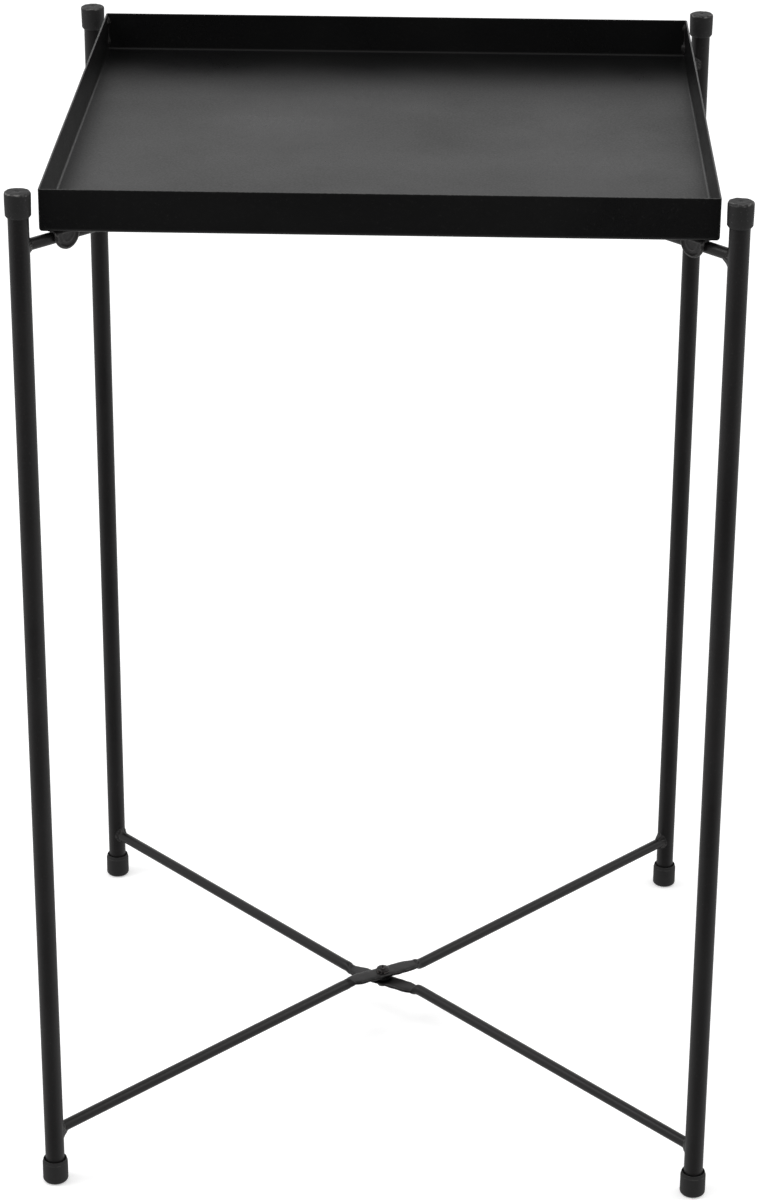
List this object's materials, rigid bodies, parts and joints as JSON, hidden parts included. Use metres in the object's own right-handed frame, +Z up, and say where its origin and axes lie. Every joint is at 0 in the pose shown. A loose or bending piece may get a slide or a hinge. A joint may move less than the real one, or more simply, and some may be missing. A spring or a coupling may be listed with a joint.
{
  "type": "folding side table",
  "caption": "Square raised-edge metal tray that lifts off two crossing tube leg frames, which fold flat about a common upright axis.",
  "frame": {"origin": "on the floor, midway between the four feet, under the upright axis of the two pivots", "axes": "+Z up, +X to the right and +Y to the back when the front edge of the tray is nearest; the tray's edges lie along X and Y"},
  "size_m": [0.417, 0.417, 0.65],
  "materials": {
    "tray_coat": "fine satin black powder coat, low sheen",
    "frame_coat": "fine-grained satin black powder coat",
    "weld_coat": "satin black powder coat over a rippled weld bead",
    "cap_plastic": "matte black moulded plastic, slightly scuffed at the top edge",
    "foot_plastic": "matte black moulded plastic",
    "screw_steel": "black-coated steel, semi-gloss",
    "washer_plastic": "matte black moulded plastic"
  },
  "bodies": {
    "frame_a": {"leg_front_left": "frame_coat", "leg_back_right": "frame_coat", "cap_front_left": "cap_plastic", "cap_back_right": "cap_plastic", "foot_front_left": "foot_plastic", "foot_back_right": "foot_plastic", "crossbar_a_upper": "frame_coat", "crossbar_a_lower": "frame_coat", "weld_front_left_upper": "weld_coat", "weld_front_left_lower": "weld_coat", "weld_back_right_upper": "weld_coat", "weld_back_right_lower": "weld_coat"},
    "frame_b": {"leg_front_right": "frame_coat", "leg_back_left": "frame_coat", "cap_front_right": "cap_plastic", "cap_back_left": "cap_plastic", "foot_front_right": "foot_plastic", "foot_back_left": "foot_plastic", "crossbar_b_upper": "frame_coat", "crossbar_b_lower": "frame_coat", "weld_front_right_upper": "weld_coat", "weld_front_right_lower": "weld_coat", "weld_back_left_upper": "weld_coat", "weld_back_left_lower": "weld_coat"},
    "pivot_hardware": {"pivot_screw_upper": "screw_steel", "pivot_screw_lower": "screw_steel", "pivot_nut_upper": "screw_steel", "pivot_nut_lower": "screw_steel", "pivot_washer_lower": "washer_plastic"},
    "tray": {"tray_pan": "tray_coat", "tray_tab_front_left": "tray_coat", "tray_tab_front_right": "tray_coat", "tray_tab_back_left": "tray_coat", "tray_tab_back_right": "tray_coat"}
  },
  "joints": [
    {"name": "leg_fold", "type": "hinge", "parent": "frame_a", "child": "frame_b", "pos_m": [0, 0, 0.0346], "axis": [0, 0, -1], "range_deg": [0, 86.6]},
    {"name": "pivot_turn", "type": "hinge", "parent": "frame_a", "child": "pivot_hardware", "pos_m": [0, 0, 0.0346], "axis": [0, 0, -1], "range_deg": [0, 43.31]},
    {"name": "tray_lift", "type": "slide", "parent": "pivot_hardware", "child": "tray", "axis": [0, 0, 1], "range_m": [0, 0.05]}
  ],
  "couplings": [
    {"joint": "pivot_turn", "follows": "leg_fold", "ratio": 0.5}
  ]
}
